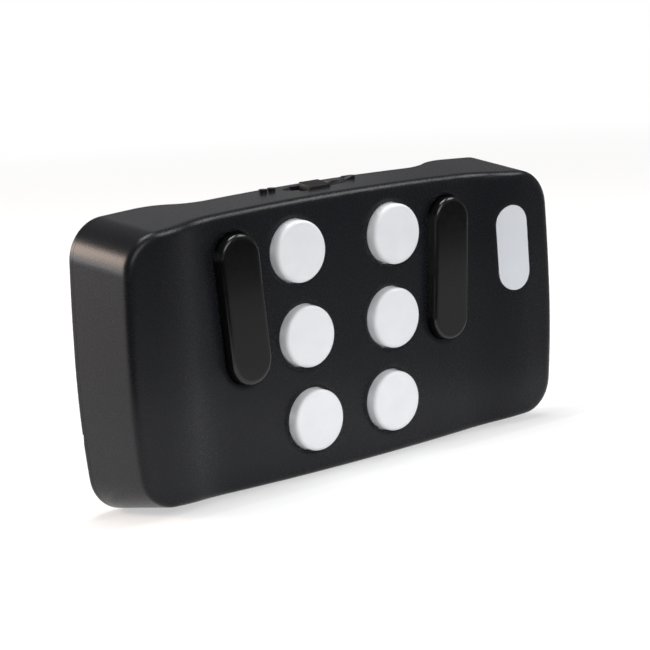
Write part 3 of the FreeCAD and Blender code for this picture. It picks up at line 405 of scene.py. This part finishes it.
class KEYBOARD_OT_power_slide(bpy.types.Operator):
    """Make the power slide's knob with its sloped top, and finish its switch"""

    bl_idname = "keyboard.power_slide"
    bl_label = "Power slide"

    def execute(self, context):
        keys = context.scene.keyboard_keys
        low, high = (Vector(corner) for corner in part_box("power_knob"))
        middle = (low + high) / 2
        shape = bmesh.new()
        cap_low = Vector((low.x, low.y, high.z - KNOB_CAP_DEPTH))
        add_sloped_block(shape, cap_low, high, keys.knob_slope, keys.knob_round)
        half_stem = Vector((KNOB_STEM_LENGTH, KNOB_STEM_WIDTH, 0.0)) / 2
        stem_low = Vector((middle.x, middle.y, low.z)) - half_stem
        stem_high = Vector((middle.x, middle.y, cap_low.z + KNOB_STEM_BITE)) + half_stem
        add_sloped_block(shape, stem_low, stem_high, 0.0, keys.knob_round)
        bmesh.ops.recalc_face_normals(shape, faces=shape.faces[:])
        for face in shape.faces:
            face.smooth = True
        # Moulded like the white keys but duller, so that the slope stays dark under the lamps.
        dull_black = satin_plastic(
            "satin_abs_black", (keys.knob_colour[:], linear("#141415")), 0.5, sheen=0.2)
        knob = new_object("power_knob_cap", shape, dull_black)
        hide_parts("power_knob")
        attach(knob, "power_slide")
        # Glass fibres leave moulded nylon dull and slightly mottled.
        nylon = satin_plastic("glass_filled_nylon", (linear("#151515"), linear("#1c1c1b")), 0.5)
        finish_nodes(nylon, "slide_switch_body")
        return {"FINISHED"}


class KEYBOARD_OT_label(bpy.types.Operator):
    """Finish the plain label"""

    bl_idname = "keyboard.label"
    bl_label = "Label"

    def execute(self, context):
        # Slightly greyer and cooler than the round keys.
        film = printed_film("screen_printed_film", (linear("#d9dce2"), linear("#d5d8de")))
        finish_nodes(film, "label_plate")
        return {"FINISHED"}


class KEYBOARD_OT_socket(bpy.types.Operator):
    """Finish the charging socket"""

    bl_idname = "keyboard.socket"
    bl_label = "Charging socket"

    def execute(self, context):
        # Nickel plate gives a warm grey rim that catches the light.
        nickel = metal_sheet("nickel_plated_steel", (linear("#b9b8b3"), linear("#a8a7a2")), 0.3)
        finish_nodes(nickel, "port_shell")
        # The tongue's moulding resin is an even dark grey.
        resin = satin_plastic("liquid_crystal_polymer", (linear("#111112"), linear("#1a1a1a")), 0.45)
        finish_nodes(resin, "port_tongue")
        return {"FINISHED"}


class KEYBOARD_OT_fasteners(bpy.types.Operator):
    """Finish the screws and the feet"""

    bl_idname = "keyboard.fasteners"
    bl_label = "Screws and feet"

    def execute(self, context):
        # Blackening leaves a dark grey metal, which still stands out in the black cover.
        steel = metal_sheet("blackened_steel", (linear("#6f6f70"), linear("#5a5a5b")), 0.32)
        finish_nodes(
            steel, *["%s_screw_%d" % (kind, number) for kind in ("board", "case") for number in CORNERS])
        # Moulded silicone is duller than the cover around it.
        rubber = soft_rubber("silicone_rubber_black", (linear("#1a1a1a"), linear("#222221")))
        finish_nodes(rubber, *["rubber_foot_%d" % number for number in CORNERS])
        return {"FINISHED"}


class KEYBOARD_OT_electronics(bpy.types.Operator):
    """Finish the board and what is on it"""

    bl_idname = "keyboard.electronics"
    bl_label = "Electronics"

    def execute(self, context):
        # Lacquer over glass cloth and copper: a clear deep green with paler tracks.
        board = solder_mask("solder_mask_green", linear("#0d3b22"), linear("#1d6a3c"))
        finish_nodes(board, "main_board")
        # Tin plate dulls the pressed cans to a soft grey.
        tin = metal_sheet("tinned_steel", (linear("#bcbbb6"), linear("#a9a8a4")), 0.32)
        finish_nodes(tin, "vibration_motor", "wireless_module")
        # Rolled foil under clear film: brighter, with broader lines.
        pouch = metal_sheet("aluminium_laminate", (linear("#c4c5c6"), linear("#b2b3b4")), 0.36, line_mm=0.8)
        finish_nodes(pouch, "battery_cell")
        # Resin moulded round the chips gives matt black blocks.
        resin = satin_plastic("epoxy_resin_black", (linear("#121212"), linear("#1a1a19")), 0.5)
        finish_nodes(resin, "processor", "small_parts")
        # Moulded switch bodies: dull black.
        nylon = satin_plastic("switch_nylon_black", (linear("#161616"), linear("#1e1e1d")), 0.5)
        finish_nodes(nylon, *["push_switch_" + name for name in SWITCHES])
        # Moulded plungers: a waxy grey, a little shinier than the bodies.
        acetal = satin_plastic("switch_acetal_grey", (linear("#4a4a49"), linear("#555553")), 0.4)
        finish_nodes(acetal, *["plunger_" + name for name in SWITCHES])
        # Extruded sheath: soft, dull and deep red.
        sheath = soft_rubber("pvc_sheath_red", (linear("#8f1b16"), linear("#9d241c")))
        finish_nodes(sheath, "battery_leads")
        # Nylon moulded without dye has a creamy white of its own.
        cream = satin_plastic("nylon_natural", (linear("#e4dfcd"), linear("#dcd6c1")), 0.45)
        finish_nodes(cream, "battery_plug")
        # Foam cut from a block: charcoal, without any sheen.
        foam = soft_rubber("polyurethane_foam", (linear("#232323"), linear("#2e2e2d")))
        finish_nodes(foam, "foam_pad")
        return {"FINISHED"}


# Stage

# What the camera looks at, and where it stands and how it is turned, as fitted to the photograph.
CAMERA_TARGET = Vector((-6.05, -6.175, 28.799)) * MM
CAMERA_DISTANCE = 398.294 * MM
CAMERA_AZIMUTH = math.radians(-39.571)
CAMERA_ELEVATION = math.radians(11.049)
CAMERA_ROLL = math.radians(-3.17)
SENSOR_WIDTH_MM = 36.0
CLIP_START = 0.01
CLIP_END = 20.0

# Each softbox in metres: where it stands, what it is aimed at, and its width and height. Then its power in
# watts, its colour, and whether it casts a shadow.
SOFTBOXES = {
    # In front and above: lights the keys and the key side.
    "key_softbox": ((-0.1, -0.75, 0.4), (0.0, 0.0, 0.02), (0.6, 0.3), 2.8, "#ffffff", True),
    # Overhead: lights the upper side, and lays the shadow on the table.
    "top_softbox": ((0.05, 0.1, 0.75), (0.0, 0.0, 0.03), (0.35, 0.35), 3.5, "#ffffff", True),
    # Draws the line of light along the front edge of the upper side.
    "ridge_softbox": ((0.32, -0.23, 0.4), (0.0, 0.0, 0.05), (0.2, 0.2), 1.2, "#ffffff", False),
    # A weak fill from far behind.
    "rear_softbox": ((0.65, 1.25, 0.5), (0.0, 0.0, 0.03), (0.8, 0.5), 0.22, "#ffffff", True),
    # Low behind the left end, which mirrors it as a sheen.
    "left_rear_softbox": ((-0.46, 0.42, 0.1), (0.0, 0.0, 0.03), (0.3, 0.1), 0.55, "#ffffff", False),
    # Slightly warm: the highlight that turns round the upper left corner.
    "corner_softbox": ((-0.385, 0.53, 0.27), (0.0, 0.0, 0.03), (0.36, 0.22), 3.7, "#ffeadd", True),
}
WORLD_STRENGTH = 0.21

# The white surroundings' share in the table near the device, and the distances over which it grows to all.
TABLE_NEAR_SHARE = 0.38
TABLE_FADE_START = 0.25
TABLE_FADE_END = 0.6
# The table starts to rise at the first of these places along Y, has risen by its swell at the second, under
# the device's front edge, and is level again from the third.
RISE_STARTS_Y = 4.0 * MM
RISE_GIVEN_Y = -6.2 * MM
RISE_ENDS_Y = -16.0 * MM

CARD_COLOURS = {"black_velvet": "#0b0b0b", "grey_card": "#a2a2a2"}
# Each card: its material, and its corners in metres away from the camera and to its right, past the origin.
CARDS = {
    "grey_card": ("grey_card", [(-0.11, 0.05), (0.02, 0.066), (0.02, 0.289), (-0.11, 0.138)]),
    "right_dark_card": ("black_velvet", [(-0.11, 0.138), (0.02, 0.289), (0.3, 0.9), (-0.7, 0.9)]),
    "rear_grey_card": ("grey_card", [(0.02, 0.085), (0.3, 0.16), (0.3, 0.9), (0.02, 0.289)]),
    "front_dark_card": ("black_velvet", [(-0.9, -0.4), (-0.11, -0.4), (-0.11, 0.138), (-0.7, 0.9)]),
}
CARD_HEIGHT = 2.5 * MM
# Light that has come less far than this is on its way to or from the table just below a card.
CARD_CLEAR_UNDER = 35 * MM


def photo_camera(lens):
    """A camera at the photograph's viewing angle, turned about its line of sight as the photograph's was."""
    back = Vector((
        math.sin(CAMERA_AZIMUTH) * math.cos(CAMERA_ELEVATION),
        -math.cos(CAMERA_AZIMUTH) * math.cos(CAMERA_ELEVATION),
        math.sin(CAMERA_ELEVATION),
    ))
    level_right = (-back).cross(Vector((0, 0, 1))).normalized()
    level_up = level_right.cross(-back)
    right = level_right * math.cos(CAMERA_ROLL) + level_up * math.sin(CAMERA_ROLL)
    up = level_up * math.cos(CAMERA_ROLL) - level_right * math.sin(CAMERA_ROLL)
    data = bpy.data.cameras.new("photo_camera")
    data.lens = lens
    data.sensor_width = SENSOR_WIDTH_MM
    data.clip_start = CLIP_START
    data.clip_end = CLIP_END
    camera = bpy.data.objects.new("photo_camera", data)
    bpy.context.scene.collection.objects.link(camera)
    camera.rotation_mode = "QUATERNION"
    camera.rotation_quaternion = Matrix((right, up, back)).transposed().to_quaternion()
    camera.location = CAMERA_TARGET + back * CAMERA_DISTANCE
    bpy.context.scene.camera = camera


def softbox(name, place, aim, size, power, colour, shadow):
    """A rectangular area lamp, turned towards the point that it is aimed at."""
    data = bpy.data.lights.new(name, "AREA")
    data.shape = "RECTANGLE"
    data.size, data.size_y = size
    data.energy = power
    data.color = linear(colour)[:3]
    data.use_shadow = shadow
    lamp = bpy.data.objects.new(name, data)
    bpy.context.scene.collection.objects.link(lamp)
    lamp.location = place
    lamp.rotation_mode = "QUATERNION"
    lamp.rotation_quaternion = (Vector(aim) - Vector(place)).to_track_quat("-Z", "Y")


def studio_world(strength):
    """An even grey room, which the camera sees as white past the table's far end."""
    world = bpy.data.worlds.new("studio_world")
    bpy.context.scene.world = world
    world.use_nodes = True
    tree = world.node_tree
    tree.nodes.clear()
    room = add_node(tree, "ShaderNodeBackground", inputs={"Color": linear("#ffffff"), "Strength": strength})
    white = add_node(tree, "ShaderNodeBackground", inputs={"Color": linear("#ffffff"), "Strength": 1.0})
    path = add_node(tree, "ShaderNodeLightPath")
    both = add_node(
        tree, "ShaderNodeMixShader",
        links={0: path.outputs["Is Camera Ray"], 1: room.outputs[0], 2: white.outputs[0]})
    add_node(tree, "ShaderNodeOutputWorld", links={"Surface": both.outputs[0]})


def table_material():
    """Painted table top near the device, even and matt white, fading into white surroundings further out.

    The surroundings' share near the device lifts the shadows, as pale paper that light glows through would.
    """
    material, tree = new_material("white_table")
    points = add_node(tree, "ShaderNodeTexCoord").outputs["Object"]
    distance = add_node(tree, "ShaderNodeVectorMath", {"operation": "LENGTH"}, links={0: points})
    away = add_node(
        tree, "ShaderNodeMapRange",
        inputs={
            "From Min": TABLE_FADE_START, "From Max": TABLE_FADE_END,
            "To Min": TABLE_NEAR_SHARE, "To Max": 1.0,
        },
        links={"Value": distance.outputs["Value"]})
    table = add_node(tree, "ShaderNodeBsdfDiffuse", inputs={"Color": linear("#f4f4f4")})
    white = add_node(tree, "ShaderNodeEmission", inputs={"Color": linear("#ffffff"), "Strength": 1.0})
    path = add_node(tree, "ShaderNodeLightPath").outputs
    straight = add_node(
        tree, "ShaderNodeMath", {"operation": "MAXIMUM"},
        links={0: path["Is Camera Ray"], 1: path["Is Transmission Ray"]})
    seen = add_node(
        tree, "ShaderNodeMath", {"operation": "MAXIMUM"},
        links={0: straight.outputs[0], 1: path["Is Glossy Ray"]})
    share = add_node(
        tree, "ShaderNodeMath", {"operation": "MULTIPLY"},
        links={0: seen.outputs[0], 1: away.outputs["Result"]})
    both = add_node(
        tree, "ShaderNodeMixShader", links={0: share.outputs[0], 1: table.outputs[0], 2: white.outputs[0]})
    add_node(tree, "ShaderNodeOutputMaterial", links={"Surface": both.outputs[0]})
    return material


def table_top(size, swell):
    """A level table with a slight rise that fills the wedge under the device's tapered lower side."""
    shape = bmesh.new()
    bmesh.ops.create_grid(shape, x_segments=1, y_segments=1, size=size / 2)
    for y in (RISE_STARTS_Y, RISE_GIVEN_Y, RISE_ENDS_Y):
        bmesh.ops.bisect_plane(
            shape, geom=shape.verts[:] + shape.edges[:] + shape.faces[:], plane_co=(0, y, 0),
            plane_no=(0, 1, 0))
    slope = swell / (RISE_STARTS_Y - RISE_GIVEN_Y)
    for vert in shape.verts:
        ahead = min(max(RISE_STARTS_Y - vert.co.y, 0.0), RISE_STARTS_Y - RISE_ENDS_Y)
        vert.co.z = ahead * slope
    floor = new_object("table_top", shape, table_material())


def card_material(name, colour):
    """Flocked card: matt, with hardly any sheen. Light to and from the table just below passes through it."""
    material, tree = new_material(name)
    flock = add_node(
        tree, "ShaderNodeBsdfPrincipled",
        inputs={"Base Color": linear(colour), "Roughness": 0.9, "Specular IOR Level": 0.1})
    clear = add_node(tree, "ShaderNodeBsdfTransparent")
    path = add_node(tree, "ShaderNodeLightPath")
    near = add_node(
        tree, "ShaderNodeMath", {"operation": "LESS_THAN"}, inputs={1: CARD_CLEAR_UNDER},
        links={0: path.outputs["Ray Length"]})
    both = add_node(
        tree, "ShaderNodeMixShader", links={0: near.outputs[0], 1: flock.outputs[0], 2: clear.outputs[0]})
    add_node(tree, "ShaderNodeOutputMaterial", links={"Surface": both.outputs[0]})
    return material


def table_card(name, material, corners):
    """A card on the table beside the picture, which only shows in what the keyboard mirrors.

    Other views look across the place where it lies, so neither the camera nor a shadow shows it there.
    """
    ahead = Vector((math.sin(-CAMERA_AZIMUTH), math.cos(CAMERA_AZIMUTH), 0.0))
    aside = Vector((ahead.y, -ahead.x, 0.0))
    lift = Vector((0.0, 0.0, CARD_HEIGHT))
    shape = bmesh.new()
    face = shape.faces.new([shape.verts.new(ahead * away + aside * right + lift) for away, right in corners])
    face.normal_update()
    if face.normal.z < 0:
        bmesh.ops.reverse_faces(shape, faces=[face])
    card = new_object(name, shape, material)
    card.visible_camera = False
    card.visible_shadow = False


class KEYBOARD_OT_stage(bpy.types.Operator):
    """Set up the table, the lamps, the world, the cards and the camera"""

    bl_idname = "keyboard.stage"
    bl_label = "Stage"

    def execute(self, context):
        stage = context.scene.keyboard_stage
        table_top(stage.floor_size, stage.floor_swell)
        for name, values in SOFTBOXES.items():
            softbox(name, *values)
        studio_world(WORLD_STRENGTH)
        flocks = {name: card_material(name, colour) for name, colour in CARD_COLOURS.items()}
        for name, (flock, corners) in CARDS.items():
            table_card(name, flocks[flock], corners)
        photo_camera(stage.lens)
        context.scene.view_settings.view_transform = "Standard"
        return {"FINISHED"}


# Sidebar and registration


class KEYBOARD_PT_sidebar(bpy.types.Panel):
    """Lists the steps that dress the keyboard, and the sizes and colours that they use"""

    bl_idname = "KEYBOARD_PT_sidebar"
    bl_label = "Braille keyboard"
    bl_space_type = "VIEW_3D"
    bl_region_type = "UI"
    bl_category = "Keyboard"

    def draw(self, context):
        column = self.layout.column()
        for step in STEPS:
            column.operator(step.bl_idname)
        for name, group in SETTINGS.items():
            for value in group.__annotations__:
                column.prop(getattr(context.scene, name), value)


SETTINGS = {"keyboard_shell": ShellSettings, "keyboard_keys": KeySettings, "keyboard_stage": StageSettings}
STEPS = (
    KEYBOARD_OT_housing, KEYBOARD_OT_dot_keys, KEYBOARD_OT_long_keys, KEYBOARD_OT_power_slide,
    KEYBOARD_OT_label, KEYBOARD_OT_socket, KEYBOARD_OT_fasteners, KEYBOARD_OT_electronics, KEYBOARD_OT_stage,
)


def register():
    for name, group in SETTINGS.items():
        bpy.utils.register_class(group)
        setattr(bpy.types.Scene, name, PointerProperty(type=group))
    for step in STEPS + (KEYBOARD_PT_sidebar,):
        bpy.utils.register_class(step)


def unregister():
    for step in (KEYBOARD_PT_sidebar,) + STEPS[::-1]:
        bpy.utils.unregister_class(step)
    for name, group in SETTINGS.items():
        delattr(bpy.types.Scene, name)
        bpy.utils.unregister_class(group)


def main():
    register()
    for step in STEPS:
        getattr(bpy.ops.keyboard, step.bl_idname.split(".")[1])()


if __name__ == "__main__":
    main()
